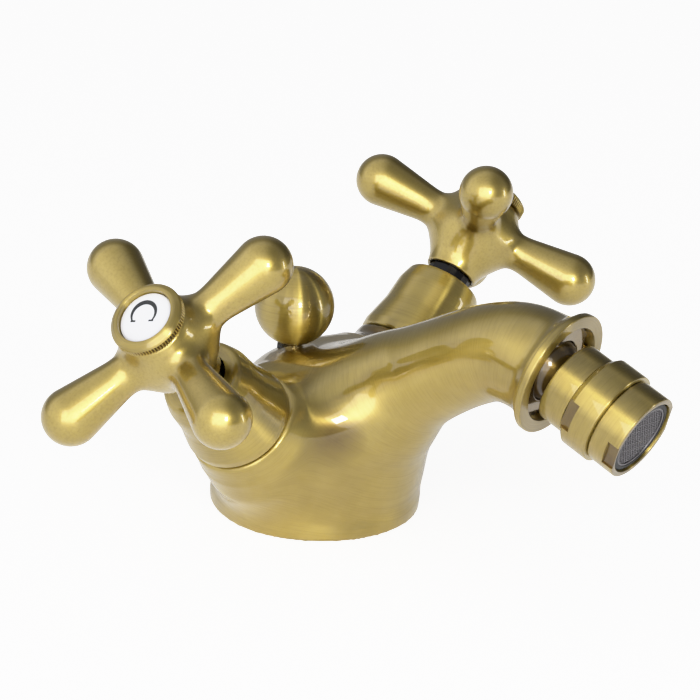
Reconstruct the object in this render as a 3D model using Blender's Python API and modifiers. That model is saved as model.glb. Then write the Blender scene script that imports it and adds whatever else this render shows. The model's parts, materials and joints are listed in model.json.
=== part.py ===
"""Two-handle bathroom mixer: cross handles, pop-up lift knob and a swivelling aerator.

The sizes below are in millimetres and degrees; MM turns them into Blender's metres.
The origin is the centre of the base, on the surface that the mixer is fixed to.
+Z is up and the spout points along -Y, so the hot handle is on the user's left, at -X.
"""
from math import acos, atan2, cos, hypot, pi, radians, sin, sqrt

import bmesh
import bpy
from mathutils import Vector

MM = 0.001
GAP = 0.3
LARGE_STEPS = 28
MEDIUM_STEPS = 16
SMALL_STEPS = 10
SMOOTH_ANGLE = 35.0

# Base and body
BASE_RADIUS = 27.5
FOOT_HEIGHT = 3.6
BODY_TOP = 41.0
BOSS_RADIUS = 14.7

# Handle axes: each one leans out of the body, and its places are measured from the middle of its cross
SIDES = {"hot": -1.0, "cold": 1.0}
HANDLE_TILT = 45.0
HANDLE_X = 64.0
HANDLE_Y = -2.0
HANDLE_Z = 62.0
ARM_COUNT = 4
ARM_TURN = {"hot": 62.6, "cold": 30.0}
ARM_REACH = 29.6
BULB_RADIUS = 7.3
ARM_WAIST_RADIUS = 4.7
ARM_WAIST_REACH = 12.5
HUB_TOP = 9.0
HUB_RIM = -14.9
HUB_RIM_RADIUS = 7.25
CAP_RADIUS = 9.4
CAP_FRONT = 12.76
INDEX_FACE = 11.4
INDEX_RADIUS = 6.9

# Valve, from its top down to the floor of its bore in the body
SHROUD_TOP = -18.0
BOSS_TOP = -41.0
BORE_RADIUS = 10.4
BORE_FLOOR = -57.0
SPINDLE_RADIUS = 3.9
SPINDLE_BORE = 4.25
NECK_RADIUS = 6.25
NECK_TOP = -13.4
FLANGE_RADIUS = 11.9
FLANGE_BOTTOM = -39.4
CAGE_RADIUS = 9.2
CAVITY_RADIUS = 7.7
CAVITY_TOP = -44.6
DISC_RADIUS = 7.3
DISC_THICKNESS = 2.5
DISC_HOLE_RADIUS = 1.9
DISC_HOLE_OFFSET = 3.8
SPLINE_COUNT = 12

# Waterways and fixings in the underside
CHANNEL_RADIUS = 4.0
CROSS_RADIUS = 3.0
CROSS_HEIGHT = 33.0
HOSE_PORT_X = 14.0
HOSE_PORT_RADIUS = 4.7
STUD_HOLE_Y = -13.0
STUD_HOLE_RADIUS = 4.0
O_RING_RADIUS = 23.1
O_RING_SECTION = 1.0

# Spout end: its face, the ball in it and the aerator on the ball
FLANGE_FACE = (0.0, -74.5, 57.0)
FACE_DROP = 14.0
FACE_RADIUS = 16.4
MOUTH_RADIUS = 13.0
NUT_FACE = -2.0
NUT_BACK = -4.4
NUT_NOTCH_TURN = 26.0
NUT_NOTCHES = 3
BALL_DEPTH = 5.5
BALL_RADIUS = 8.6
AERATOR_TILT = 5.8
AERATOR_END = 31.65
SWIVEL_NECK_RADIUS = 10.7
COLLAR_RADIUS = 12.4
SLEEVE_RADIUS = 11.4

# Pop-up lift rod and its knob
ROD_Y = 10.0
ROD_RADIUS = 2.5
ROD_BOTTOM = 4.0
KNOB_RADIUS = 10.6
KNOB_HEIGHT = 52.0
KNOB_UNDERSIDE = 42.8
BUSH_RADIUS = 4.2
BUSH_TOP = 41.4

MATERIALS = {
    "antique_brass": ((0.42, 0.30, 0.10), 0.28, 1.0),
    "plain_brass": ((0.55, 0.42, 0.18), 0.35, 1.0),
    "dark_metal": ((0.10, 0.09, 0.07), 0.35, 1.0),
    "stainless_steel": ((0.45, 0.45, 0.46), 0.35, 1.0),
    "porcelain": ((0.86, 0.86, 0.88), 0.12, 0.0),
    "alumina": ((0.82, 0.80, 0.74), 0.25, 0.0),
    "black_plastic": ((0.02, 0.02, 0.02), 0.40, 0.0),
    "rubber": ((0.015, 0.015, 0.015), 0.70, 0.0),
}


def clear_scene():
    for obj in list(bpy.data.objects):
        bpy.data.objects.remove(obj)


def make_collection(name):
    collection = bpy.data.collections.new(name)
    bpy.context.scene.collection.children.link(collection)
    return collection


def make_material(name):
    color, roughness, metallic = MATERIALS[name]
    material = bpy.data.materials.new(name)
    material.use_nodes = True
    shader = material.node_tree.nodes["Principled BSDF"]
    shader.inputs["Base Color"].default_value = (*color, 1.0)
    shader.inputs["Roughness"].default_value = roughness
    shader.inputs["Metallic"].default_value = metallic
    return material


clear_scene()
FAUCET = make_collection("bathroom_mixer_faucet")
CUTTERS = make_collection("cutters")
SLOTS = {name: make_material(name) for name in MATERIALS}


def place(name, data, material, parent, location=(0.0, 0.0, 0.0), turn=(0.0, 0.0, 0.0)):
    """Make an object; without a material it is a cutter or a shape to join on."""
    obj = bpy.data.objects.new(name, data)
    obj.location = Vector(location) * MM
    obj.rotation_euler = [radians(angle) for angle in turn]
    obj.parent = parent
    if material:
        FAUCET.objects.link(obj)
        data.materials.append(SLOTS[material])
    else:
        CUTTERS.objects.link(obj)
        obj.hide_render = True
        obj.display_type = "WIRE"
    return obj


def axis_empty(name, location, turn=(0.0, 0.0, 0.0)):
    """An empty whose local Z is a piece's own axis."""
    empty = bpy.data.objects.new(name, None)
    empty.location = Vector(location) * MM
    empty.rotation_euler = [radians(angle) for angle in turn]
    FAUCET.objects.link(empty)
    return empty


def turned(name, outline, material, parent=None, location=(0.0, 0.0, 0.0),
           turn=(0.0, 0.0, 0.0), steps=MEDIUM_STEPS):
    """Turn an outline of (radius, height) points about local Z.

    The points run down the outer side. An outline that starts off the axis closes on itself.
    """
    mesh = bpy.data.meshes.new(name)
    points = [(radius * MM, 0.0, height * MM) for radius, height in outline]
    edges = [(i, i + 1) for i in range(len(points) - 1)]
    if outline[0][0] > 0:
        edges.append((len(points) - 1, 0))
    mesh.from_pydata(points, edges, [])
    obj = place(name, mesh, material, parent, location, turn)
    screw = obj.modifiers.new("turn", "SCREW")
    screw.axis = "Z"
    screw.angle = 2 * pi
    screw.steps = steps
    screw.render_steps = steps
    screw.use_merge_vertices = True
    screw.merge_threshold = 0.000001
    screw.use_smooth_shade = True
    return obj


def rod_outline(radius, top, bottom):
    return [(0, top), (radius, top), (radius, bottom), (0, bottom)]


def ring_outline(inner, outer, top, bottom):
    return [(inner, top), (outer, top), (outer, bottom), (inner, bottom)]


def o_ring(name, ring_radius, section_radius, height, parent=None, steps=MEDIUM_STEPS):
    sides = 6
    angles = [-2 * pi * i / sides for i in range(sides)]
    outline = [(ring_radius + section_radius * cos(a), height + section_radius * sin(a)) for a in angles]
    return turned(name, outline, "rubber", parent, steps=steps)


def arc(radius, start, end, count, height=0.0):
    """Points on a circle about the axis point at this height, from start to end degrees above the radius."""
    angles = [radians(start + (end - start) * i / count) for i in range(count + 1)]
    return [(radius * cos(a), height + radius * sin(a)) for a in angles]


def box_cutter(name, low, high, parent=None, turn=(0.0, 0.0, 0.0)):
    mesh = bpy.data.meshes.new(name)
    shape = bmesh.new()
    bmesh.ops.create_cube(shape, size=1.0)
    for vertex in shape.verts:
        for k in range(3):
            vertex.co[k] = (low[k] + (vertex.co[k] + 0.5) * (high[k] - low[k])) * MM
    shape.to_mesh(mesh)
    shape.free()
    return place(name, mesh, None, parent, turn=turn)


def hexagon(name, corner_radius, top, bottom, parent):
    mesh = bpy.data.meshes.new(name)
    shape = bmesh.new()
    bmesh.ops.create_cone(shape, cap_ends=True, segments=6, radius1=corner_radius * MM,
                          radius2=corner_radius * MM, depth=(top - bottom) * MM)
    shape.to_mesh(mesh)
    shape.free()
    return place(name, mesh, None, parent, location=(0, 0, (top + bottom) / 2))


def solid_from_curve(name, curve):
    """Make a curve object a closed mesh whose caps are welded on."""
    guide = bpy.data.objects.new(name, curve)
    CUTTERS.objects.link(guide)
    graph = bpy.context.evaluated_depsgraph_get()
    mesh = bpy.data.meshes.new_from_object(guide.evaluated_get(graph))
    bpy.data.objects.remove(guide)
    shape = bmesh.new()
    shape.from_mesh(mesh)
    bmesh.ops.remove_doubles(shape, verts=shape.verts, dist=0.000001)
    bmesh.ops.recalc_face_normals(shape, faces=shape.faces)
    shape.to_mesh(mesh)
    shape.free()
    return mesh


def tube(name, route, bevel_resolution):
    """A round tube through (y, z, radius) points in the plane of the spout."""
    curve = bpy.data.curves.new(name, "CURVE")
    curve.dimensions = "3D"
    curve.bevel_depth = MM
    curve.bevel_resolution = bevel_resolution
    curve.use_fill_caps = True
    spline = curve.splines.new("POLY")
    spline.points.add(len(route) - 1)
    for point, (y, z, radius) in zip(spline.points, route):
        point.co = (0.0, y * MM, z * MM, 1.0)
        point.radius = radius
    return place(name, solid_from_curve(name, curve), None, None)


def splined_prism(name, tip_radius, root_radius, top, bottom, parent):
    """A toothed shaft end, as an extruded flat outline."""
    curve = bpy.data.curves.new(name, "CURVE")
    curve.dimensions = "2D"
    curve.fill_mode = "BOTH"
    curve.extrude = (top - bottom) / 2 * MM
    spline = curve.splines.new("POLY")
    spline.use_cyclic_u = True
    spline.points.add(4 * SPLINE_COUNT - 1)
    for i, point in enumerate(spline.points):
        radius = tip_radius if i % 4 < 2 else root_radius
        angle = 2 * pi * i / (4 * SPLINE_COUNT)
        point.co = (radius * cos(angle) * MM, radius * sin(angle) * MM, 0.0, 1.0)
    return place(name, solid_from_curve(name, curve), None, parent, location=(0, 0, (top + bottom) / 2))


def combine(target, tools, operation):
    for tool in tools:
        modifier = target.modifiers.new(tool.name, "BOOLEAN")
        modifier.operation = operation
        modifier.object = tool


def join(target, *tools):
    combine(target, tools, "UNION")


def cut(target, *tools):
    combine(target, tools, "DIFFERENCE")


# ------------------------------------------------------------------ axes of the moving pieces

HANDLE_AXES = {}
for side, sign in SIDES.items():
    HANDLE_AXES[side] = axis_empty(side + "_handle_axis", (sign * HANDLE_X, HANDLE_Y, HANDLE_Z),
                                   (0, sign * HANDLE_TILT, 0))
FACE_AXIS = axis_empty("spout_face_axis", FLANGE_FACE, (90 + FACE_DROP, 0, 0))
BALL_CENTRE = (0.0, FLANGE_FACE[1] + BALL_DEPTH * cos(radians(FACE_DROP)),
               FLANGE_FACE[2] + BALL_DEPTH * sin(radians(FACE_DROP)))
AERATOR_AXIS = axis_empty("aerator_axis", BALL_CENTRE, (90 + FACE_DROP + AERATOR_TILT, 0, 0))
ROD_AXIS = axis_empty("lift_rod_axis", (0, ROD_Y, 0))


# ------------------------------------------------------------------ body

def spout_route():
    """Centre and radius of the neck and spout, from just above the foot up and over to the face."""
    return [(-2, 3, 25.4), (-2.7, 9, 25.6), (-4.8, 14.5, 24.6), (-8.6, 20.4, 22.4), (-13.2, 26.2, 19.8),
            (-18.6, 32.2, 17.6), (-24.5, 38.2, 15.5), (-30, 42.6, 13.9), (-37, 47.4, 12.9), (-48.5, 54.5, 12.4),
            (-56.5, 57.9, 12.5), (-63.5, 58.9, 13.1), (-72.5, 57.4, 13.4)]


def channel_route():
    """The waterway follows the spout, from above the two valves to the chamber behind the ball."""
    radius = CHANNEL_RADIUS
    return [(HANDLE_Y, CROSS_HEIGHT - 4, radius), (-13, CROSS_HEIGHT, radius), (-28, 41.2, radius),
            (-42.6, 50.6, radius), (-54, 57.2, radius), (-63, 59.6, radius)]


def body_casting():
    column = [(0, BODY_TOP), (7.5, BODY_TOP - 0.4), (12.5, BODY_TOP - 2.6), (16.5, BODY_TOP - 6.5), (19.4, 29),
              (21.4, 22), (22.9, 14), (24.4, 8), (26.2, FOOT_HEIGHT + 0.8), (27.2, FOOT_HEIGHT),
              (BASE_RADIUS, FOOT_HEIGHT - 0.8), (BASE_RADIUS, 0.6), (BASE_RADIUS - 0.5, 0), (0, 0)]
    body = turned("body_casting", column, "antique_brass", steps=LARGE_STEPS)
    body_spout = tube("spout_form", spout_route(), 10)
    face = turned("spout_face_form", [(0, 0), (FACE_RADIUS - 1, 0), (FACE_RADIUS - 0.3, -0.3), (FACE_RADIUS, -1),
                                      (FACE_RADIUS, -2.3), (FACE_RADIUS - 0.7, -3.2), (0, -3.2)],
                  None, FACE_AXIS, steps=LARGE_STEPS)
    join(body, body_spout, face)
    for side, axis in HANDLE_AXES.items():
        boss = turned(side + "_boss_form",
                      [(0, BOSS_TOP), (BOSS_RADIUS - 0.6, BOSS_TOP), (BOSS_RADIUS, BOSS_TOP - 0.6), (15.3, -45.5),
                       (15.3, -53), (14.2, -61), (11, -68), (0, -68)], None, axis, steps=LARGE_STEPS)
        join(body, boss)
    for side, axis in HANDLE_AXES.items():
        bore = turned(side + "_bore_cutter",
                      [(0, BOSS_TOP + 2), (BORE_RADIUS, BOSS_TOP + 2), (BORE_RADIUS, BORE_FLOOR), (3.6, BORE_FLOOR),
                       (3.6, -71.5), (0, -71.5)], None, axis)
        port = turned(side + "_hose_port_cutter", rod_outline(HOSE_PORT_RADIUS, 14.5, -1), None,
                      location=(SIDES[side] * HOSE_PORT_X, HANDLE_Y, 0), steps=SMALL_STEPS)
        cut(body, bore, port)
    cross = turned("cross_passage_cutter", rod_outline(CROSS_RADIUS, 27, -27), None,
                   location=(0, HANDLE_Y, CROSS_HEIGHT), turn=(0, 90, 0), steps=12)
    channel = tube("spout_channel_cutter", channel_route(), 4)
    mouth = turned("mouth_cutter",
                   [(0, 1), (MOUTH_RADIUS + 0.8, 1), (MOUTH_RADIUS + 0.8, -0.2), (MOUTH_RADIUS, -1.2),
                    (MOUTH_RADIUS, NUT_BACK - GAP), (10.3, NUT_BACK - GAP), (10.3, -9.6), (8.0, -9.6), (5.5, -14.5),
                    (0, -14.5)], None, FACE_AXIS)
    stud = turned("stud_hole_cutter", rod_outline(STUD_HOLE_RADIUS, 13, -1), None, location=(0, STUD_HOLE_Y, 0),
                  steps=SMALL_STEPS)
    rod = turned("rod_bore_cutter",
                 [(0, 50), (BUSH_RADIUS + GAP, 50), (BUSH_RADIUS + GAP, 32), (ROD_RADIUS + 0.5, 32),
                  (ROD_RADIUS + 0.5, -1), (0, -1)], None, ROD_AXIS, steps=SMALL_STEPS)
    groove = turned("o_ring_groove_cutter",
                    ring_outline(O_RING_RADIUS - O_RING_SECTION - GAP, O_RING_RADIUS + O_RING_SECTION + GAP, 2.3, -1),
                    None, steps=LARGE_STEPS)
    cut(body, cross, channel, mouth, stud, rod, groove)
    o_ring("base_o_ring", O_RING_RADIUS, O_RING_SECTION, O_RING_SECTION, steps=LARGE_STEPS)


# ------------------------------------------------------------------ one valve and its handle

def valve_parts(side, axis):
    valve_body = turned(side + "_valve_body",
                        [(SPINDLE_BORE, NECK_TOP), (NECK_RADIUS, NECK_TOP), (NECK_RADIUS, -24), (8.4, -24.6),
                         (8.4, -36), (FLANGE_RADIUS, -37.6), (FLANGE_RADIUS, FLANGE_BOTTOM), (10.1, FLANGE_BOTTOM),
                         (10.1, -44), (CAGE_RADIUS, -44.5), (CAGE_RADIUS, -56.7), (CAVITY_RADIUS, -56.7),
                         (CAVITY_RADIUS, CAVITY_TOP), (SPINDLE_BORE, CAVITY_TOP)], "dark_metal", axis)
    join(valve_body, hexagon(side + "_hexagon_form", 11.0, -33.5, -36.8, axis))
    hexagon_bore = turned(side + "_hexagon_bore", rod_outline(SPINDLE_BORE, -32, -38), None, axis)
    window = box_cutter(side + "_window_cutter", (-3.5, -12, -49), (3.5, 12, -45.4), axis)
    cut(valve_body, hexagon_bore, window)

    foot_top = CAVITY_TOP - GAP
    foot_bottom = foot_top - 2.1
    spindle = turned(side + "_spindle",
                     [(2.4, -6), (SPINDLE_RADIUS, -6), (SPINDLE_RADIUS, -12.2), (3.1, -12.2), (3.1, -13.2),
                      (SPINDLE_RADIUS, -13.2), (SPINDLE_RADIUS, -36.2), (2.9, -36.2), (2.9, -38.2),
                      (SPINDLE_RADIUS, -38.2), (SPINDLE_RADIUS, foot_top), (DISC_RADIUS, foot_top),
                      (DISC_RADIUS, foot_bottom), (1.0, foot_bottom), (1.0, -9), (2.4, -9)],
                     "plain_brass", axis, steps=SMALL_STEPS)
    splines = splined_prism(side + "_spline_form", 4.1, 3.7, 1.7, -6.7, axis)
    thread_bore = turned(side + "_thread_bore", rod_outline(2.4, 3, -8), None, axis, steps=SMALL_STEPS)
    join(spindle, splines)
    cut(spindle, thread_bore)
    o_ring(side + "_spindle_o_ring", 3.55, 0.45, -37.2, axis, steps=SMALL_STEPS)
    turned(side + "_retaining_clip", ring_outline(3.3, 5.4, -12.35, -13.05), "stainless_steel", axis,
           steps=SMALL_STEPS)

    disc_top = foot_bottom - GAP
    for name, turn in (("upper_disc", 0), ("lower_disc", 90)):
        disc = turned(side + "_" + name, rod_outline(DISC_RADIUS, disc_top, disc_top - DISC_THICKNESS), "alumina",
                      axis)
        for end in (-1, 1):
            hole = turned("{}_{}_hole_{}".format(side, name, end),
                          rod_outline(DISC_HOLE_RADIUS, disc_top + 1, disc_top - DISC_THICKNESS - 1), None, axis,
                          location=(end * DISC_HOLE_OFFSET * cos(radians(turn)),
                                    end * DISC_HOLE_OFFSET * sin(radians(turn)), 0), steps=12)
            cut(disc, hole)
        disc_top -= DISC_THICKNESS + GAP
    turned(side + "_seat_seal", ring_outline(5.9, DISC_RADIUS, disc_top, BORE_FLOOR + GAP), "rubber", axis)
    o_ring(side + "_body_o_ring", 11.2, 0.62, BOSS_TOP + 0.8, axis)


def bonnet_shroud(side, axis):
    outside = [(9.4, SHROUD_TOP), (10.7, -19.2), (11.3, -22), (12.0, -28.5), (12.9, -33), (13.9, -37.2),
               (14.1, -39), (13.9, BOSS_TOP + GAP)]
    inside = [(12.7, BOSS_TOP + GAP), (12.4, -37.5), (10.7, -28), (9.2, -19.8)]
    turned(side + "_bonnet_shroud", [(7.0, SHROUD_TOP)] + outside + inside + [(7.0, -19.8)], "antique_brass", axis,
           steps=LARGE_STEPS)


def arm_outline():
    """A round bulb that tapers straight to a waist and flares again into the hub."""
    length = ARM_REACH - ARM_WAIST_REACH
    slope = atan2(length, ARM_WAIST_RADIUS) - acos(BULB_RADIUS / hypot(length, ARM_WAIST_RADIUS))
    count = 6
    bulb = []
    for i in range(count + 1):
        angle = (pi / 2 + slope) * i / count
        bulb.append((BULB_RADIUS * sin(angle), ARM_REACH + BULB_RADIUS * cos(angle)))
    bulb[0] = (0, ARM_REACH + BULB_RADIUS)
    return bulb + [(ARM_WAIST_RADIUS, ARM_WAIST_REACH), (5.6, 9.6), (6.6, 7.6), (6.6, 4), (0, 4)]


def cross_handle(side, axis):
    hub = [(0, HUB_TOP), (9.0, HUB_TOP), (9.7, 7.6), (10.0, 4.5), (10.9, 1.5), (11.5, -1.5), (11.4, -4.5),
           (10.4, -7.4), (9.0, -10), (7.9, -12.2), (HUB_RIM_RADIUS, HUB_RIM), (0, HUB_RIM)]
    handle = turned(side + "_cross_handle", hub, "antique_brass", axis)
    for i in range(ARM_COUNT):
        angle = ARM_TURN[side] + 360 * i / ARM_COUNT
        arm = turned("{}_arm_form_{}".format(side, i), arm_outline(), None, axis, turn=(0, 90, angle),
                     steps=SMALL_STEPS)
        join(handle, arm)
    bore = turned(side + "_hub_bore_cutter",
                  [(0, 11), (6.8, 11), (6.8, 5), (2.4, 5), (2.4, 2), (4.4, 2), (4.4, -7), (6.6, -7), (6.6, -17),
                   (0, -17)], None, axis, steps=MEDIUM_STEPS)
    cut(handle, bore)


def handle_trim(side, axis):
    screw = turned(side + "_handle_screw", [(0, 7.8), (4.0, 7.8), (4.0, 5.3), (2.1, 5.3), (2.1, -4), (0, -4)],
                   "stainless_steel", axis, steps=SMALL_STEPS)
    cut(screw, hexagon(side + "_key_socket_cutter", 1.8, 9, 6.2, axis))
    turned(side + "_index_cap",
           [(7.2, 12.5), (7.5, CAP_FRONT), (8.2, CAP_FRONT), (8.8, 12.2), (CAP_RADIUS, 11.2), (CAP_RADIUS, 9.3),
            (6.5, 9.3), (6.5, 6.4), (5.0, 6.4), (5.0, 10.0), (7.2, 10.0)], "antique_brass", axis, steps=LARGE_STEPS)
    turned(side + "_index_disc",
           [(0, INDEX_FACE), (INDEX_RADIUS - 0.3, INDEX_FACE), (INDEX_RADIUS, INDEX_FACE - 0.3),
            (INDEX_RADIUS, 10.25), (0, 10.25)], "porcelain", axis)


# ------------------------------------------------------------------ pop-up lift rod

def lift_rod():
    turned("rod_guide_bush", ring_outline(ROD_RADIUS + GAP, BUSH_RADIUS, BUSH_TOP, 34.6), "dark_metal", ROD_AXIS,
           steps=SMALL_STEPS)
    o_ring("rod_o_ring", 3.6, 0.65, 33.4, ROD_AXIS, steps=SMALL_STEPS)
    turned("lift_rod", rod_outline(ROD_RADIUS, KNOB_HEIGHT - 2, ROD_BOTTOM), "plain_brass", ROD_AXIS,
           steps=SMALL_STEPS)
    low = sqrt(KNOB_RADIUS ** 2 - (KNOB_HEIGHT - KNOB_UNDERSIDE) ** 2)
    slope = -acos(low / KNOB_RADIUS) * 180 / pi
    ball = arc(KNOB_RADIUS, 90, slope, 12, KNOB_HEIGHT)
    ball[0] = (0, KNOB_HEIGHT + KNOB_RADIUS)
    hole = ROD_RADIUS + GAP
    turned("lift_knob", ball + [(hole, KNOB_UNDERSIDE), (hole, KNOB_HEIGHT - 1.6), (0, KNOB_HEIGHT - 1.6)],
           "antique_brass", ROD_AXIS)


# ------------------------------------------------------------------ ball joint and aerator

def seat_arc(top, bottom, count):
    """The hollow round seat of the ball, up from bottom to top, in heights from the spout's face."""
    seat = BALL_RADIUS + GAP
    heights = [bottom + (top - bottom) * i / count for i in range(count + 1)]
    return [(sqrt(seat ** 2 - (height + BALL_DEPTH) ** 2), height) for height in heights]


def ball_joint():
    nut = turned("swivel_nut",
                 [(MOUTH_RADIUS - GAP, NUT_FACE), (MOUTH_RADIUS - GAP, NUT_BACK), (10.0, NUT_BACK), (10.0, -5.4)]
                 + seat_arc(NUT_FACE, -5.4, 4), "antique_brass", FACE_AXIS)
    for i in range(NUT_NOTCHES):
        notch = box_cutter("nut_notch_cutter_{}".format(i), (11, -2.2, -5), (15, 2.2, 0), FACE_AXIS,
                           turn=(0, 0, NUT_NOTCH_TURN + 360 * i / NUT_NOTCHES))
        cut(nut, notch)
    turned("ball_seat_washer", [(10.0, -5.7), (10.0, -9.3)] + seat_arc(-5.7, -9.3, 4), "black_plastic", FACE_AXIS)
    stem = 5.6
    back = 4.2
    front_angle = acos(stem / BALL_RADIUS) * 180 / pi
    back_angle = -acos(back / BALL_RADIUS) * 180 / pi
    ball = arc(BALL_RADIUS, front_angle, back_angle, 10)
    bore_bottom = ball[-1][1]
    turned("swivel_ball",
           [(8.2, 19.0), (9.0, 19.0), (9.0, 14.7), (SWIVEL_NECK_RADIUS, 14.7), (SWIVEL_NECK_RADIUS, 7.8),
            (SWIVEL_NECK_RADIUS - 0.3, 7.5), (stem, 7.5)] + ball + [(3.6, bore_bottom), (3.6, 9.5), (8.2, 9.5)],
           "antique_brass", AERATOR_AXIS)


def aerator():
    turned("aerator_collar",
           [(10.1, 23.7), (COLLAR_RADIUS - 0.2, 23.7), (COLLAR_RADIUS, 23.4), (COLLAR_RADIUS, 16.2), (11.2, 14.95),
            (9.3, 14.95), (9.3, 19.3), (10.1, 19.3)], "antique_brass", AERATOR_AXIS)
    sleeve = turned("aerator_sleeve",
                    [(10.0, AERATOR_END), (SLEEVE_RADIUS - 0.3, AERATOR_END), (SLEEVE_RADIUS, AERATOR_END - 0.4),
                     (SLEEVE_RADIUS, 24.0), (9.8, 24.0), (9.8, 19.95), (8.4, 19.95), (8.4, 26.0), (10.0, 26.0)],
                    "antique_brass", AERATOR_AXIS)
    for turn in (0, 180):
        cut(sleeve, box_cutter("key_notch_cutter_{}".format(turn), (10.6, -2.4, 29.2), (14, 2.4, 33), AERATOR_AXIS,
                               turn=(0, 0, turn)))
    turned("aerator_washer", ring_outline(7.2, 8.9, 19.75, 19.2), "rubber", AERATOR_AXIS)
    turned("aerator_insert",
           [(8.6, 31.2), (9.7, 31.2), (9.7, 26.3), (8.1, 26.3), (8.1, 20.2), (5.0, 20.2), (5.0, 30.0), (8.6, 30.0)],
           "black_plastic", AERATOR_AXIS)
    turned("aerator_mesh", rod_outline(8.3, 30.9, 30.3), "stainless_steel", AERATOR_AXIS)


def settle(obj):
    """Apply the modifiers, shade the round faces smooth and keep the real edges sharp."""
    graph = bpy.context.evaluated_depsgraph_get()
    mesh = bpy.data.meshes.new_from_object(obj.evaluated_get(graph))
    obj.modifiers.clear()
    obj.data = mesh
    mesh.shade_smooth()
    mesh.set_sharp_from_angle(angle=radians(SMOOTH_ANGLE))


body_casting()
for side, axis in HANDLE_AXES.items():
    valve_parts(side, axis)
    bonnet_shroud(side, axis)
    cross_handle(side, axis)
    handle_trim(side, axis)
lift_rod()
ball_joint()
aerator()
for piece in [obj for obj in FAUCET.objects if obj.type == "MESH"]:
    settle(piece)
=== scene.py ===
"""Looks of the two-handle bathroom mixer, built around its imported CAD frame.

Shapes are worked out in millimetres, in the row frame or in a piece's own frame, whose Z is the piece's axis.
MM turns them into Blender's metres.
"""

import json
from math import acos, atan2, cos, degrees, hypot, pi, radians, sin, sqrt, tan

import bmesh
import bpy
import numpy as np
from mathutils import Matrix, Vector


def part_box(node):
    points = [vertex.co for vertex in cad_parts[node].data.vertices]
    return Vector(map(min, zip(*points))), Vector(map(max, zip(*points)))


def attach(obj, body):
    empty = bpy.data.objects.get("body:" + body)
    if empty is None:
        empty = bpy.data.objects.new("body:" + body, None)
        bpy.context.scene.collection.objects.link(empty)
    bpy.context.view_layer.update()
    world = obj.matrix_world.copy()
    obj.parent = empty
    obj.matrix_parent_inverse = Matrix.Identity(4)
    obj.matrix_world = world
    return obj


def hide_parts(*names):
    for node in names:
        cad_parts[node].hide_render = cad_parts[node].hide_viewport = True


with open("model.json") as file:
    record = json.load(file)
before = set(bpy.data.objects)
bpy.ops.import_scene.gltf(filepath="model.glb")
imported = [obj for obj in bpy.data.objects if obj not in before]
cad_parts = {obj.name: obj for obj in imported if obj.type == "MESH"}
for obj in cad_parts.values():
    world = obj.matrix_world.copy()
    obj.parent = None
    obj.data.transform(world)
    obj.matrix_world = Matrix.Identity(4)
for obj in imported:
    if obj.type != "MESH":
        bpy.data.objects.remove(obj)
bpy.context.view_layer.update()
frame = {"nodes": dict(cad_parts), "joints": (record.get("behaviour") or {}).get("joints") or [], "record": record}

MM = 0.001
JOINTS = {joint["name"]: joint for joint in frame["joints"]}
SIDES = {"hot": -1, "cold": 1}

# Camera: angles in degrees, lengths in millimetres
CAMERA_AZIMUTH = radians(-53.107)
CAMERA_ELEVATION = radians(20.910)
CAMERA_ROLL = radians(3.762)
CAMERA_TARGET = (0, -9.22, 44.90)
CAMERA_DISTANCE = 673.45
CAMERA_LENS = 132.757
CAMERA_SENSOR = 36.0

# Floor, in metres, and how brightly it glows for the camera and for the mixer
FLOOR_RADIUS = 3.0
FLOOR_GAP = 0.0002
FLOOR_SHOWN = 0.95
FLOOR_GLOW = 0.27

# Steps of the fine surfaces
BODY_GRID = 0.65
HANDLE_GRID = 0.5
TURN_STEPS = 128
POLISH_ROUNDS = 260
HOLLOW_REACHES = (1.5, 3.0, 6.0)
SHARP_ANGLE = 35
TINY = 1e-9
FAR = 1e9

# Brass: brush lines in metres, and colours
LINE_PITCH = 0.00033
LINE_LENGTH = 0.006
BRASS = (0.51, 0.385, 0.10)
BRASS_SHADE = (0.44, 0.325, 0.065)
BRASS_SCRATCH = (0.24, 0.16, 0.03)
BRASS_STAIN = (0.30, 0.215, 0.06)
# Colour of the patina in hollows, also used for painted shade under the cold shroud, in the mouth and on the rim
# and sleeve faces
PATINA_AND_SHADE = (0.13, 0.07, 0.015)
PATINA_FULL = 0.62
NOTCH_HOLLOW = 0.7
LACQUER_IOR = 1.65

# Body
BASE_RADIUS = 27.5
FOOT_HEIGHT = 3.2
BOSS_TOP = -41.0
BOSS_RADIUS = 14.4
SEAT_SLOPE = 8
ROOT_CORNER = (24, -17, 30)
ROOT_WEAR_REACH = 18
HOSE_PORT_X = 14.0
HOSE_PORT_Y = -2
HOSE_PORT_RADIUS = 4.7
HOSE_PORT_DEPTH = 14.5
STUD_HOLE_Y = -13.0
STUD_HOLE_RADIUS = 4.0
STUD_HOLE_DEPTH = 13
ROD_Y = 10.0
ROD_BORE_RADIUS = 3
ROD_BORE_DEPTH = 60

# Handles
ARM_TURN = {"hot": 62.6, "cold": 30.0}
ARM_REACH = 29.6
BULB_RADIUS = 7.3
ARM_WAIST_RADIUS = 4.7
ARM_WAIST_REACH = 12.5
HUB_RIM = -14.9
HUB_RIM_RADIUS = 7.25
CAP_RADIUS = 9.45
KNURL_BAND = (9.2, 11.1)
KNURL_DEPTH = 0.55
KNURLS = 76

# Spout end
FACE_DROP = 14.0
BALL_DEPTH = 5.5
AERATOR_TILT = 5.8
FACE_RADIUS = 16.4
MOUTH_RADIUS = 13.0


# ---- frames of the pieces

def frame_at(location, axis_letter, angle):
    """A frame at a point in metres, turned by an angle in degrees about a world axis."""
    return Matrix.Translation(Vector(location)) @ Matrix.Rotation(radians(angle), 4, axis_letter)


def handle_frame(side):
    joint = JOINTS[side + "_handle_turn"]
    tilt = degrees(atan2(abs(joint["axis"][0]), abs(joint["axis"][2])))
    return frame_at(joint["pos_m"], "Y", SIDES[side] * tilt)


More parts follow.
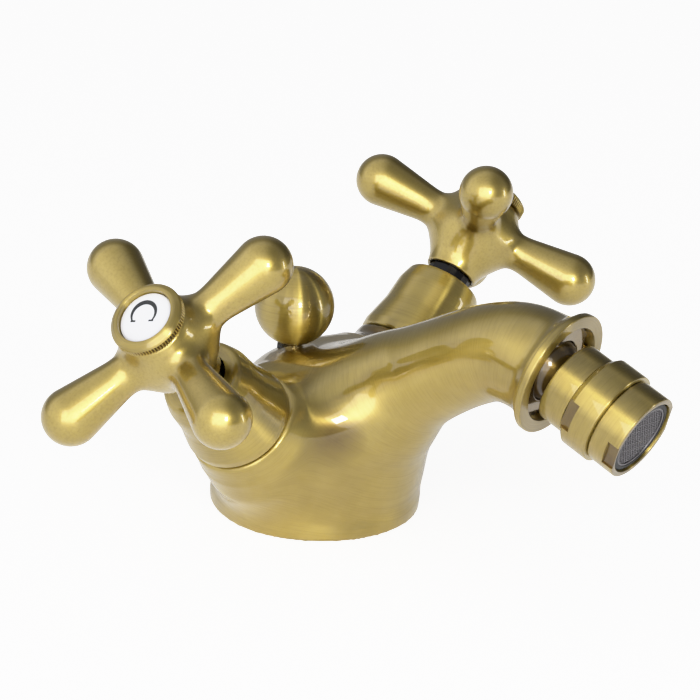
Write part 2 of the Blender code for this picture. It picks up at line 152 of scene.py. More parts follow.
HANDLE_FRAMES = {side: handle_frame(side) for side in SIDES}
BALL_CENTRE = Vector(JOINTS["aerator_spin"]["pos_m"])
FACE_NORMAL = Vector(JOINTS["aerator_spin"]["axis"])
FACE_FRAME = frame_at(BALL_CENTRE + FACE_NORMAL * BALL_DEPTH * MM, "X", 90 + FACE_DROP)
AERATOR_FRAME = frame_at(BALL_CENTRE, "X", 90 + FACE_DROP + AERATOR_TILT)
ROD_FRAME = frame_at((0, ROD_Y * MM, 0), "Z", 0)
WORLD_FRAME = Matrix.Identity(4)


# ---- outlines

def spline(points, count):
    """A natural cubic spline through points of any dimension, sampled evenly along its chords."""
    points = np.array(points, float)
    chords = np.linalg.norm(np.diff(points, axis=0), axis=1)
    knots = np.concatenate([[0], np.cumsum(chords)])
    size = len(points)
    system = np.eye(size)
    target = np.zeros_like(points)
    for i in range(1, size - 1):
        before, after = chords[i - 1], chords[i]
        system[i, i - 1:i + 2] = before, 2 * (before + after), after
        target[i] = 6 * ((points[i + 1] - points[i]) / after - (points[i] - points[i - 1]) / before)
    bend = np.linalg.solve(system, target)
    at = np.linspace(0, knots[-1], count)
    i = np.clip(np.searchsorted(knots, at) - 1, 0, size - 2)
    width = chords[i][:, None]
    a = (knots[i + 1] - at)[:, None] / width
    b = 1 - a
    return (a * points[i] + b * points[i + 1]
            + ((a ** 3 - a) * bend[i] + (b ** 3 - b) * bend[i + 1]) * width ** 2 / 6)


def soften(corners, arc_steps=8):
    """An outline whose corners (radius, height, rounding) are rounded where a rounding is given."""
    outline = []
    for i, corner in enumerate(corners):
        here = Vector(corner[:2])
        if len(corner) < 3 or corner[2] == 0:
            outline.append(tuple(here))
            continue
        before = (Vector(corners[i - 1][:2]) - here).normalized()
        after = (Vector(corners[(i + 1) % len(corners)][:2]) - here).normalized()
        half = before.angle(after) / 2
        reach = corner[2] / np.tan(half)
        centre = here + (before + after).normalized() * corner[2] / sin(half)
        start = here + before * reach - centre
        end = here + after * reach - centre
        turn = start.angle_signed(end)
        for k in range(arc_steps + 1):
            angle = -turn * k / arc_steps
            outline.append((centre.x + start.x * cos(angle) - start.y * sin(angle),
                            centre.y + start.x * sin(angle) + start.y * cos(angle)))
    return outline


# ---- distance fields
# A field takes points (n, 3) in mm and returns their distances to a surface, below 0 inside, and the
# distances' gradients.

def revolved(outline, place=WORLD_FRAME):
    """The field of a closed outline of (radius, height) points turned about its frame's Z."""
    corners = np.array(outline, float)
    following = np.roll(corners, -1, axis=0)
    turn = np.array(place.to_3x3())
    origin = np.array(place.translation) / MM

    def field(points):
        local = (points - origin) @ turn
        radius = np.hypot(local[:, 0], local[:, 1])
        height = local[:, 2]
        best = np.full(len(points), FAR)
        delta = np.zeros((len(points), 2))
        inside = np.zeros(len(points), bool)
        for (r0, z0), (r1, z1) in zip(corners, following):
            dr, dz = r1 - r0, z1 - z0
            length = dr * dr + dz * dz
            if length < 1e-12:
                continue
            if dz != 0:
                inside ^= ((z0 > height) != (z1 > height)) & (radius < r0 + (height - z0) * dr / dz)
            if r0 < TINY and r1 < TINY:
                continue
            t = np.clip(((radius - r0) * dr + (height - z0) * dz) / length, 0, 1)
            away_r = radius - r0 - t * dr
            away_z = height - z0 - t * dz
            square = away_r ** 2 + away_z ** 2
            closer = square < best
            best[closer] = square[closer]
            delta[closer, 0] = away_r[closer]
            delta[closer, 1] = away_z[closer]
        distance = np.sqrt(best)
        sign = np.where(inside, -1.0, 1.0)
        flat = delta * (sign / np.maximum(distance, TINY))[:, None]
        spread = flat[:, :1] / np.maximum(radius, TINY)[:, None]
        slope = np.concatenate([local[:, :2] * spread, flat[:, 1:]], axis=1)
        return distance * sign, slope @ turn.T

    return field


def swept(route, samples=240, stride=6):
    """The field of a ball that runs along (x, y, z, radius) points."""
    path = spline(route, samples)
    index = np.arange(samples)

    def gap(points, at):
        centre = np.stack([np.interp(at, index, path[:, k]) for k in range(3)], axis=1)
        away = points - centre
        return np.linalg.norm(away, axis=1) - np.interp(at, index, path[:, 3]), away

    def field(points):
        at = np.zeros(len(points))
        best = np.full(len(points), FAR)
        for i in index[::stride]:
            away = np.linalg.norm(points - path[i, :3], axis=1) - path[i, 3]
            closer = away < best
            best[closer] = away[closer]
            at[closer] = i
        for reach in (stride, stride / 3, stride / 10):
            low, here, high = (gap(points, at + k * reach)[0] for k in (-1, 0, 1))
            bend = low - 2 * here + high
            step = np.where(bend > TINY, (low - high) / 2 / np.maximum(bend, TINY), np.sign(low - high))
            at = np.clip(at + np.clip(step, -1, 1) * reach, 0, samples - 1)
        distance, away = gap(points, at)
        return distance, away / np.maximum(np.linalg.norm(away, axis=1), TINY)[:, None]

    return field


def merged(first, second, reach):
    """Two fields joined by a fillet whose width is reach, a number or a function of the points."""

    def field(points):
        (a, slope_a), (b, slope_b) = first(points), second(points)
        width = reach(points) if callable(reach) else reach
        near = np.clip(1 - np.abs(a - b) / width, 0, 1)
        share = near ** 2 / 2
        share_a = np.where(a < b, 1 - share, share)[:, None]
        return np.minimum(a, b) - width * near ** 3 / 6, share_a * slope_a + (1 - share_a) * slope_b

    return field


def carved(solid, cutter, reach=0.3):
    """A field with another one cut away from it."""

    def outside(points):
        distance, slope = solid(points)
        return -distance, -slope

    both = merged(outside, cutter, reach)

    def field(points):
        distance, slope = both(points)
        return -distance, -slope

    return field


def net_points(field, low, high, step):
    """Which grid points lie inside, and the field's value near its surface."""
    block = 4
    blocks = [int(np.ceil((high[k] - low[k]) / (step * block))) for k in range(3)]
    middle = [low[k] + (np.arange(blocks[k]) * block + (block - 1) / 2) * step for k in range(3)]
    coarse = np.stack(np.meshgrid(*middle, indexing="ij"), axis=-1).reshape(-1, 3)
    values = field(coarse)[0].reshape(blocks)
    for k in range(3):
        values = np.repeat(values, block, axis=k)
    near = np.argwhere(np.abs(values) < block * step)
    values[tuple(near.T)] = field(np.array(low) + near * step)[0]
    return values


def surface_net(field, low, high, step):
    """Points and quads around a field's zero level, on a grid of this step."""
    values = net_points(field, low, high, step)
    inside = values < 0
    cells = [side - 1 for side in values.shape]
    corners = [(i, j, k) for i in (0, 1) for j in (0, 1) for k in (0, 1)]

    def shifted(array, corner):
        return array[tuple(slice(corner[k], corner[k] + cells[k]) for k in range(3))]

    count = sum(shifted(inside, corner).astype(np.int8) for corner in corners)
    active = np.argwhere((count > 0) & (count < 8))
    number = np.full(cells, -1)
    number[tuple(active.T)] = np.arange(len(active))
    total = np.zeros((len(active), 3))
    crossings = np.zeros(len(active))
    for axis in range(3):
        for start in corners:
            if start[axis]:
                continue
            end = tuple(start[k] + (k == axis) for k in range(3))
            a = values[tuple((active + start).T)]
            b = values[tuple((active + end).T)]
            crosses = (a < 0) != (b < 0)
            share = np.where(crosses, a / np.where(crosses, a - b, 1), 0)
            point = active + start + share[:, None] * (np.array(end) - start)
            total += point * crosses[:, None]
            crossings += crosses
    points = np.array(low) + total / crossings[:, None] * step
    quads = []
    for axis in range(3):
        u, v = (axis + 1) % 3, (axis + 2) % 3
        ahead = [slice(None)] * 3
        ahead[axis] = slice(1, None)
        behind = [slice(None)] * 3
        behind[axis] = slice(None, -1)
        edges = np.argwhere(inside[tuple(behind)] != inside[tuple(ahead)])
        leaving = inside[tuple(edges.T)]
        ring = []
        for du, dv in ((-1, -1), (0, -1), (0, 0), (-1, 0)):
            cell = edges.copy()
            cell[:, u] += du
            cell[:, v] += dv
            ring.append(number[tuple(cell.T)])
        ring = np.stack(ring, axis=1)
        quads.append(np.where(leaving[:, None], ring, ring[:, ::-1]))
    return points, np.concatenate(quads)


def quad_links(quads):
    """The quads' edges, as the points at one end and the points at the other."""
    return np.concatenate([quads, np.roll(quads, -1, axis=1)], axis=0).reshape(2, -1)


def neighbour_means(points, links):
    """The middle of each point's neighbours."""
    count = len(points)
    degree = np.bincount(links[0], minlength=count) + np.bincount(links[1], minlength=count)
    total = np.zeros_like(points)
    for k in range(3):
        total[:, k] = (np.bincount(links[0], points[links[1], k], count)
                       + np.bincount(links[1], points[links[0], k], count))
    return total / np.maximum(degree, 1)[:, None]


def relaxed(points, quads, field, rounds=3):
    """Points spread evenly over the field's zero level."""
    links = quad_links(quads)
    for _ in range(rounds):
        points = (points + neighbour_means(points, links)) / 2
        for _ in range(2):
            distance, slope = field(points)
            points = points - distance[:, None] * slope / np.maximum((slope ** 2).sum(1), 0.2)[:, None]
    return points


def polished(points, quads, share, rounds):
    """Points drawn to the middle of their neighbours, each by its own share, as polishing rounds corners."""
    links = quad_links(quads)
    links = links[:, (share[links[0]] > 0) | (share[links[1]] > 0)]
    for _ in range(rounds):
        points = points + share[:, None] * (neighbour_means(points, links) - points)
    return points


# ---- pieces

def make_piece(name, mesh, place, material, body, slot, *nodes):
    """A mesh in its own frame, moved to its place, rides on a body and stands for these CAD nodes.

    Each point keeps its place in the piece's own frame, and which way a lathe's lines run there.
    """
    own = point_places(mesh)
    store(mesh, "own", own)
    if "comb" not in mesh.attributes:
        store(mesh, "comb", np.cross((0, 0, 1), own) @ np.array(place.to_3x3()).T)
    mesh.transform(place)
    piece = new_object(name, mesh)
    mesh.materials.clear()
    mesh.materials.append(material)
    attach(piece, body)
    if nodes:
        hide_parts(*nodes)


def store(mesh, name, values):
    """Keep a value or a vector for each point of a mesh, for its material to read."""
    values = np.asarray(values, np.float32)
    single = values.ndim == 1
    layer = mesh.attributes.new(name, "FLOAT" if single else "FLOAT_VECTOR", "POINT")
    layer.data.foreach_set("value" if single else "vector", values.ravel())


def finished_mesh(name, shape):
    mesh = bpy.data.meshes.new(name)
    shape.to_mesh(mesh)
    shape.free()
    return mesh


def point_places(mesh):
    """The points of a mesh in metres, as (n, 3)."""
    places = np.empty(len(mesh.vertices) * 3, np.float32)
    mesh.vertices.foreach_get("co", places)
    return places.reshape(-1, 3)


def new_object(name, data):
    """An object in the scene."""
    made = bpy.data.objects.new(name, data)
    bpy.context.scene.collection.objects.link(made)
    return made


def field_mesh(name, field, low, high, step, wear=None):
    """A fine mesh of a field's surface, which knows how hollow the surface is around each point.

    wear(points) gives how strongly polishing has drawn each point to its neighbours.
    """
    points, quads = surface_net(field, low, high, step)
    points = relaxed(points, quads, field)
    if wear:
        points = polished(points, quads, wear(points), POLISH_ROUNDS)
    mesh = bpy.data.meshes.new(name)
    mesh.from_pydata((points * MM).tolist(), [], quads.tolist())
    mesh.shade_smooth()
    normals = np.empty(len(points) * 3, np.float32)
    mesh.vertices.foreach_get("normal", normals)
    normals = normals.reshape(-1, 3)
    hollow = np.zeros(len(points))
    for reach in HOLLOW_REACHES:
        hollow += np.clip(1 - field(points + normals * reach)[0] / reach, 0, 1)
    store(mesh, "hollow", hollow / len(HOLLOW_REACHES))
    return mesh, points


def turned_mesh(name, outline, steps=TURN_STEPS, ripple=None):
    """A closed outline of (radius, height) points, down its outer side, turned about Z.

    ripple(angle, radius, height) gives each point's radius, for what isn't round.
    """
    shape = bmesh.new()
    rings = []
    for radius, height in outline:
        if radius < TINY:
            rings.append([shape.verts.new((0, 0, height * MM))] * steps)
            continue
        ring = []
        for i in range(steps):
            angle = 2 * pi * i / steps
            reach = ripple(angle, radius, height) if ripple else radius
            ring.append(shape.verts.new((reach * cos(angle) * MM, reach * sin(angle) * MM, height * MM)))
        rings.append(ring)
    for upper, lower in zip(rings, rings[1:] + rings[:1]):
        if upper[0] is upper[1] and lower[0] is lower[1]:
            continue
        for i in range(steps):
            j = (i + 1) % steps
            corners = dict.fromkeys((upper[i], lower[i], lower[j], upper[j]))
            shape.faces.new(corners)
    mesh = finished_mesh(name, shape)
    mesh.shade_smooth()
    mesh.set_sharp_from_angle(angle=radians(SHARP_ANGLE))
    return mesh


def cut_boxes(whole, boxes):
    """A mesh with boxes, each (low corner, high corner, turn about Z), cut out, and patina on the floors."""
    piece = new_object(whole.name, whole)
    for low, high, turn in boxes:
        shape = bmesh.new()
        size = [(high[k] - low[k]) * MM for k in range(3)]
        middle = [(high[k] + low[k]) / 2 * MM for k in range(3)]
        bmesh.ops.create_cube(shape, size=1)
        bmesh.ops.scale(shape, vec=size, verts=shape.verts)
        bmesh.ops.translate(shape, vec=middle, verts=shape.verts)
        bmesh.ops.rotate(shape, matrix=Matrix.Rotation(radians(turn), 3, "Z"), verts=shape.verts)
        cutter = new_object("cutter", finished_mesh("cutter", shape))
        modifier = piece.modifiers.new("notch", "BOOLEAN")
        modifier.operation = "DIFFERENCE"
        modifier.object = cutter
        bpy.context.view_layer.update()
        graph = bpy.context.evaluated_depsgraph_get()
        cut = bpy.data.meshes.new_from_object(piece.evaluated_get(graph))
        piece.modifiers.clear()
        piece.data = cut
        bpy.data.objects.remove(cutter)
    whole = piece.data
    bpy.data.objects.remove(piece)
    whole.set_sharp_from_angle(angle=radians(SHARP_ANGLE))
    spots = point_places(whole) / MM
    hollow = np.zeros(len(spots), np.float32)
    if "hollow" in whole.attributes:
        whole.attributes["hollow"].data.foreach_get("value", hollow)
        whole.attributes.remove(whole.attributes["hollow"])
    near, floor_depth = 0.02, 0.1
    for low, high, turn in boxes:
        local = spots @ np.array(Matrix.Rotation(radians(turn), 3, "Z"))
        inside = ((local > np.array(low) - near) & (local < np.array(high) + near)).all(axis=1)
        hollow[inside & (local[:, 0] < low[0] + floor_depth)] = NOTCH_HOLLOW
    store(whole, "hollow", hollow)
    return whole


# ---- materials

def new_material(name, color, roughness, metallic):
    material = bpy.data.materials.new(name)
    material.use_nodes = True
    shader = material.node_tree.nodes["Principled BSDF"]
    shader.inputs["Base Color"].default_value = (*color, 1)
    shader.inputs["Roughness"].default_value = roughness
    shader.inputs["Metallic"].default_value = metallic
    return material, material.node_tree.nodes, material.node_tree.links, shader


def math_node(nodes, links, operation, *values):
    """A math node whose inputs are numbers or other nodes' outputs."""
    node = nodes.new("ShaderNodeMath")
    node.operation = operation
    for socket, value in zip(node.inputs, values):
        if isinstance(value, (int, float)):
            socket.default_value = value
        else:
            links.new(value, socket)
    return node.outputs[0]


def noise_node(nodes, links, vector, scale, detail=3.0, rough=0.5):
    node = nodes.new("ShaderNodeTexNoise")
    node.inputs["Scale"].default_value = scale
    node.inputs["Detail"].default_value = detail
    node.inputs["Roughness"].default_value = rough
    links.new(vector, node.inputs["Vector"])
    return node.outputs["Fac"]


def ramp_node(nodes, links, value, stops):
    """A colour ramp of (position, colour) stops."""
    node = nodes.new("ShaderNodeValToRGB")
    ramp = node.color_ramp
    while len(ramp.elements) < len(stops):
        ramp.elements.new(0.5)
    for element, (position, color) in zip(ramp.elements, stops):
        element.position = position
        element.color = (*color, 1)
    links.new(value, node.inputs["Fac"])
    return node.outputs["Color"]


def mix_node(nodes, links, factor, first, second, blend="MIX"):
    node = nodes.new("ShaderNodeMix")
    node.data_type = "RGBA"
    node.blend_type = blend
    sockets = (node.inputs["Factor"], node.inputs["A"], node.inputs["B"])
    for socket, value in zip(sockets, (factor, first, second)):
        if isinstance(value, (int, float)):
            socket.default_value = value
        elif isinstance(value, tuple):
            socket.default_value = (*value, 1)
        else:
            links.new(value, socket)
    return node.outputs["Result"]


def range_node(nodes, links, value, low, high, to_low, to_high):
    node = nodes.new("ShaderNodeMapRange")
    for socket, number in zip(node.inputs[1:5], (low, high, to_low, to_high)):
        socket.default_value = number
    links.new(value, node.inputs["Value"])
    return node.outputs["Result"]


def attribute_node(nodes, name):
    """The outputs that read what a mesh stores for its points."""
    node = nodes.new("ShaderNodeAttribute")
    node.attribute_name = name
    return node.outputs


def bump_node(nodes, links, height, depth, strength):
    """A surface normal tilted by a height, over a depth in metres."""
    node = nodes.new("ShaderNodeBump")
    node.inputs["Strength"].default_value = strength
    node.inputs["Distance"].default_value = depth
    links.new(height, node.inputs["Height"])
    return node


def brush_lines_node(nodes, links, shader, place, brushing, streak):
    """The height of brush lines, with the shader's reflections drawn out across them."""
    across = nodes.new("ShaderNodeCombineXYZ")
    if brushing == "turned":
        parts = nodes.new("ShaderNodeSeparateXYZ")
        links.new(attribute_node(nodes, "own")["Vector"], parts.inputs[0])
        square = math_node(nodes, links, "MULTIPLY", parts.outputs["X"], parts.outputs["X"])
        square = math_node(nodes, links, "MULTIPLY_ADD", parts.outputs["Y"], parts.outputs["Y"], square)
        links.new(math_node(nodes, links, "SQRT", square), across.inputs["X"])
        links.new(parts.outputs["Z"], across.inputs["Y"])
        shader.inputs["Anisotropic Rotation"].default_value = 0.25
    else:
        links.new(attribute_node(nodes, "across")["Fac"], across.inputs["X"])
    tangent = nodes.new("ShaderNodeVectorTransform")
    tangent.vector_type = "VECTOR"
    tangent.convert_from = "OBJECT"
    tangent.convert_to = "WORLD"
    links.new(attribute_node(nodes, "comb")["Vector"], tangent.inputs[0])
    links.new(tangent.outputs[0], shader.inputs["Tangent"])
    shader.inputs["Anisotropic"].default_value = streak
    stretch = nodes.new("ShaderNodeVectorMath")
    stretch.operation = "MULTIPLY_ADD"
    stretch.inputs[1].default_value = (LINE_PITCH / LINE_LENGTH,) * 3
    links.new(place, stretch.inputs[0])
    links.new(across.outputs[0], stretch.inputs[2])
    return noise_node(nodes, links, stretch.outputs[0], 1 / LINE_PITCH, 4, 0.6)


def brass_tone(nodes, links, place, lines, stained, clean):
    """The brass's colour: mottled, scratched along its lines, and browned by the patina in its hollows and by
    painted shade where a piece stores it.
    """
    mottle = noise_node(nodes, links, place, 90, 5, 0.6)
    tone = ramp_node(nodes, links, mottle, [(0.3, BRASS_SHADE), (0.7, BRASS)])
    if stained:
        stain = noise_node(nodes, links, place, 62, 2, 0.5)
        stain = range_node(nodes, links, stain, 0.5, 0.75, 0.0, 0.3)
        tone = mix_node(nodes, links, stain, tone, BRASS_STAIN)
    scratch = range_node(nodes, links, lines, 0.45, 0.75, 0.0, 0.25)
    tone = mix_node(nodes, links, scratch, tone, BRASS_SCRATCH)
    hollow = attribute_node(nodes, "hollow")["Fac"]
    patina = range_node(nodes, links, hollow, clean, PATINA_FULL, 0.0, 1.0)
    patchy = range_node(nodes, links, mottle, 0.3, 0.7, 0.6, 1.0)
    return mix_node(nodes, links, math_node(nodes, links, "MULTIPLY", patina, patchy), tone, PATINA_AND_SHADE)


def brass_material(name, brushing, roughness=0.38, streak=0.9, line_depth=0.00003, coat=0.03, waves=0.0,
                   clean=0.14):
    """Lacquered antique brass, with a patina left in its hollows and painted shade where a piece stores it.

    brushing is "body" for lines across the mesh's stored direction, "turned" for lines around the piece's
    Z, or "satin" for a fine grain without direction. streak is how far it draws out a reflection across its
    lines, coat how rough the lacquer is, waves how deep in metres hand polishing has left the surface wavy,
    and clean how hollow a place may be before it keeps any patina or painted shade.
    """
    material, nodes, links, shader = new_material(name, BRASS, roughness, 1.0)
    place = nodes.new("ShaderNodeTexCoord").outputs["Object"]
    if brushing == "satin":
        lines = noise_node(nodes, links, place, 1500, 3)
    else:
        lines = brush_lines_node(nodes, links, shader, place, brushing, streak)
    links.new(brass_tone(nodes, links, place, lines, waves > 0, clean), shader.inputs["Base Color"])
    links.new(range_node(nodes, links, lines, 0.3, 0.7, roughness - 0.05, roughness + 0.06),
              shader.inputs["Roughness"])
    bump = bump_node(nodes, links, lines, line_depth, 0.5)
    links.new(bump.outputs["Normal"], shader.inputs["Normal"])
    if waves:
        swell = bump_node(nodes, links, noise_node(nodes, links, place, 48, 1, 0.4), waves, 1.0)
        links.new(swell.outputs["Normal"], bump.inputs["Normal"])
        links.new(swell.outputs["Normal"], shader.inputs["Coat Normal"])
    shader.inputs["Coat Weight"].default_value = 1.0
    shader.inputs["Coat Roughness"].default_value = coat
    shader.inputs["Coat IOR"].default_value = LACQUER_IOR
    return material


def plain_material(name, color, roughness, metallic, grain=0.08, shine=0.5):
    """A quiet machined, moulded or fired surface, with a little unevenness."""
    material, nodes, links, shader = new_material(name, color, roughness, metallic)
    shader.inputs["Specular IOR Level"].default_value = shine
    noise = noise_node(nodes, links, nodes.new("ShaderNodeTexCoord").outputs["Object"], 400)
    dark = [c * (1 - grain) for c in color]
    light = [min(c * (1 + grain), 1) for c in color]
    links.new(ramp_node(nodes, links, noise, [(0.0, dark), (1.0, light)]), shader.inputs["Base Color"])
    dull = range_node(nodes, links, noise, 0, 1, max(roughness - grain / 2, 0.02), roughness + grain / 2)
    links.new(dull, shader.inputs["Roughness"])
    return material


BRASS_BODY = brass_material("antique_brass_body", "body", 0.36, 0.8, waves=0.0008, clean=0.26)
BRASS_SATIN = brass_material("antique_brass_satin", "satin", 0.34, line_depth=0.000001)
BRASS_TURNED = brass_material("antique_brass_turned", "turned", 0.37, 1.0, coat=0.06)
BRASS_GLOSS = brass_material("antique_brass_gloss", "satin", 0.15, line_depth=0.000001)
PLAIN_BRASS = plain_material("plain_brass", (0.60, 0.46, 0.20), 0.3, 1.0)
DARK_METAL = plain_material("dark_metal", (0.03, 0.03, 0.032), 0.18, 1.0)
STAINLESS = plain_material("stainless_steel", (0.50, 0.50, 0.52), 0.3, 1.0)
DULL_STEEL = plain_material("dull_steel", (0.22, 0.21, 0.22), 0.35, 1.0)
PORCELAIN = plain_material("porcelain", (0.80, 0.81, 0.86), 0.08, 0.0, 0.01)
ALUMINA = plain_material("alumina", (0.80, 0.78, 0.70), 0.3, 0.0, 0.03)
BLACK_PLASTIC = plain_material("black_plastic", (0.012, 0.012, 0.013), 0.3, 0.0, 0.2, 0.15)
RUBBER = plain_material("rubber", (0.01, 0.01, 0.01), 0.65, 0.0, 0.3)
INDEX_INK = plain_material("index_ink", (0.02, 0.022, 0.025), 0.3, 0.0, 0.1)
CAD_LOOKS = {"antique_brass": BRASS_SATIN, "plain_brass": PLAIN_BRASS, "dark_metal": DARK_METAL,
             "stainless_steel": STAINLESS, "porcelain": PORCELAIN, "alumina": ALUMINA,
             "black_plastic": BLACK_PLASTIC, "rubber": RUBBER}


# ---- body

def spout_route():
    """Centre (y, z) and radius of the neck and spout, from just above the foot up and over to the face."""
    return [(-2, 3, 25.4), (-2.7, 9, 25.6), (-4.8, 14.5, 24.6), (-8.6, 20.4, 22.4), (-13.2, 26.2, 19.8),
            (-18.6, 32.2, 17.6), (-24.5, 38.2, 15.5), (-30, 42.6, 13.9), (-37, 47.4, 12.9),
            (-48.5, 54.5, 12.4), (-56.5, 57.9, 12.5), (-63.5, 58.9, 13.1), (-72.5, 57.4, 13.4)]


def on_boss(points, side):
    """The height and radius of points in mm about a boss's axis."""
    axis = np.array(HANDLE_FRAMES[side].to_3x3().col[2])
    local = points - np.array(HANDLE_FRAMES[side].translation) / MM
    height = local @ axis
    return height, np.linalg.norm(local - height[:, None] * axis, axis=1)


def boss_fillet(side):
    """The width of the fillet between a boss and the body: small at the rim, under the shroud, wide below."""
    narrow, wider, depth = 1, 25, 7

    def width(points):
        below_rim = BOSS_TOP - on_boss(points, side)[0]
        return narrow + wider * np.clip(below_rim / depth, 0, 1)

    return width


def web_route(sign):
    """The web that fills the corner between a boss and the spout's root."""
    return [(sign * 27, -8, 30.5, 9), (sign * 17.5, -15, 30, 11.5), (sign * 8, -18.5, 31, 12),
            (0, -20, 33, 12)]


def boss_outline():
    return soften([(0, BOSS_TOP), (BOSS_RADIUS, BOSS_TOP, 0.4), (15.3, -47, 5), (15.3, -55, 8),
                   (10.5, -68, 5), (0, -68)])


def seat_outline():
    """What a shroud needs clear: all above the boss's rim and above a cone that falls away from it."""
    reach, top = 40, BOSS_TOP + 1.2
    drop = (reach - BOSS_RADIUS) * tan(radians(SEAT_SLOPE))
    return [(0, 0), (reach, 0), (reach, top - drop), (BOSS_RADIUS, top), (0, top)]


def mouth_outline():
    """The spout's mouth behind its rim, the seat of the ball and the waterway's end."""
    wide, seat = MOUTH_RADIUS + 0.5, 10.3
    return [(0, 16), (30, 16), (30, -1), (wide, -1), (wide, -3.3), (seat, -3.3), (seat, -9.6), (8, -9.6),
            (5.5, -14.5), (0, -14.5)]


def body_field():
    column = revolved(soften([(0, 41.2), (17.5, 41.2, 12.5), (24.2, 9, 20), (24.2, 0), (0, 0)]))
    whole = merged(column, swept([(0, *point) for point in spout_route()]), 10)
    for side in SIDES:
        whole = merged(whole, revolved(boss_outline(), HANDLE_FRAMES[side]), boss_fillet(side))
    for side in SIDES:
        whole = merged(whole, swept(web_route(SIDES[side]), 60), 8)
    for side in SIDES:
        whole = carved(whole, revolved(seat_outline(), HANDLE_FRAMES[side]), 4)
    width = FACE_RADIUS - 1.4
    bead = soften([(0, -1), (width, -1, 0.8), (width, -2.9, 0.9), (0, -2.9)])
    whole = merged(whole, revolved(bead, FACE_FRAME), 6)
    foot = soften([(0, FOOT_HEIGHT), (BASE_RADIUS, FOOT_HEIGHT, 0.8), (BASE_RADIUS, 0, 0.6), (0, 0)])
    whole = merged(whole, revolved(foot), 5)
    below = 8
    whole = carved(whole, revolved([(0, 0), (40, 0), (40, -below * 4), (0, -below * 4)]))
    whole = carved(whole, revolved(mouth_outline(), FACE_FRAME), 0.8)
    holes = [(SIDES[side] * HOSE_PORT_X, HOSE_PORT_Y, HOSE_PORT_RADIUS, HOSE_PORT_DEPTH) for side in SIDES]
    holes.append((0, STUD_HOLE_Y, STUD_HOLE_RADIUS, STUD_HOLE_DEPTH))
    holes.append((0, ROD_Y, ROD_BORE_RADIUS, ROD_BORE_DEPTH))
    for x, y, radius, depth in holes:
        hole = [(0, depth), (radius, depth), (radius, -below), (0, -below)]
        whole = carved(whole, revolved(hole, frame_at((x * MM, y * MM, 0), "Z", 0)), 0.8)
    return whole


def brush_lines(points):
    """Where each point lies across the brush lines, in mm, and which way that is.

    The lines run around the neck and spout, and around each boss.
    """
    path = spline(spout_route(), 240)[:, :2]
    course = np.gradient(path, axis=0)
    lengths = np.linalg.norm(course, axis=1)
    travelled = np.cumsum(lengths)
    course /= lengths[:, None]
    best = np.full(len(points), FAR)
    nearest = np.zeros(len(points), int)
    for i, (y, z) in enumerate(path):
        gap = (points[:, 1] - y) ** 2 + (points[:, 2] - z) ** 2
        closer = gap < best
        best[closer] = gap[closer]
        nearest[closer] = i
    offset = points[:, 1:] - path[nearest]
    across = travelled[nearest] + (offset * course[nearest]).sum(1)
    direction = np.zeros_like(points)
    direction[:, 1:] = course[nearest]
    for side in SIDES:
        axis = np.array(HANDLE_FRAMES[side].to_3x3().col[2])
        height, radius = on_boss(points, side)
        share = np.clip((20 - radius) / 6, 0, 1) * np.clip((height + 58) / 12, 0, 1)
        share = share * share * (3 - 2 * share)
        across = across * (1 - share) + (height + 90) * share
        direction = direction * (1 - share)[:, None] + axis * share[:, None]
    return across, direction


def root_wear(points):
    """Polishing is strongest in the corners between the bosses and the spout, and spares the bosses' rims."""
    share = np.zeros(len(points))
    for side in SIDES:
        height, radius = on_boss(points, side)
        rim = np.maximum(np.clip((BOSS_TOP - 0.5 - height) / 2, 0, 1), np.clip((radius - 16) / 2, 0, 1))
        corner = points - np.array([SIDES[side] * ROOT_CORNER[0], ROOT_CORNER[1], ROOT_CORNER[2]])
        near = np.clip((ROOT_WEAR_REACH - np.linalg.norm(corner, axis=1)) / 6, 0, 1)
        share = np.maximum(share, near * rim)
    return share


def paint_shade_below_cold_shroud_and_in_mouth(mesh, points):
    """Paint shade in the patina's colour at the back of the cold boss just below its shroud, where the shroud's
    shadow falls, and down the mouth's bore.
    """
    hollow = np.empty(len(points), np.float32)
    mesh.attributes["hollow"].data.foreach_get("value", hollow)
    for place, top, bottom, radius in ((HANDLE_FRAMES["cold"], -41, -47, 19), (FACE_FRAME, -1.5, -6, 13.4)):
        local = (points - np.array(place.translation) / MM) @ np.array(place.to_3x3())
        inside = (local[:, 2] < top + 0.5) & (np.hypot(local[:, 0], local[:, 1]) < radius)
        back = np.clip((local[:, 1] + 6) / 5, 0, 1) if place is HANDLE_FRAMES["cold"] else 1
        hollow += inside * back * np.clip((local[:, 2] - bottom) / 2, 0, 1)
    mesh.attributes["hollow"].data.foreach_set("value", hollow)


def make_body():
    low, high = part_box("body_casting")
    margin = 2
    mesh, points = field_mesh("mixer_casting", body_field(), [v / MM - margin for v in low],
                              [v / MM + margin for v in high], BODY_GRID, root_wear)
    # Painted shade below the cold shroud and down the mouth, in the patina's colour.
    paint_shade_below_cold_shroud_and_in_mouth(mesh, points)
    across, direction = brush_lines(points)
    store(mesh, "across", across * MM)
    store(mesh, "comb", direction)
    make_piece("mixer_casting", mesh, WORLD_FRAME, BRASS_BODY, "mixer_body", "antique_brass", "body_casting")
    ring = soften([(MOUTH_RADIUS, 0, 0.15), (FACE_RADIUS, 0, 0.4), (FACE_RADIUS, -2.0, 0.8), (14.3, -2.6),
                   (13.8, -3.7), (MOUTH_RADIUS, -3.7)], 6)
    mesh = turned_mesh("spout_rim", ring)
    # Painted shade: the rim's face and bore carry more of the patina colour than its outer edge, darkening them as
    # the dark they reflect would.
    reach = (FACE_RADIUS - 0.2) * MM
    store(mesh, "hollow", [0.35 if hypot(vertex.co.x, vertex.co.y) < reach else 0.15
                           for vertex in mesh.vertices])
    make_piece("spout_rim", mesh, FACE_FRAME, BRASS_TURNED, "mixer_body", "antique_brass")


# ---- handles

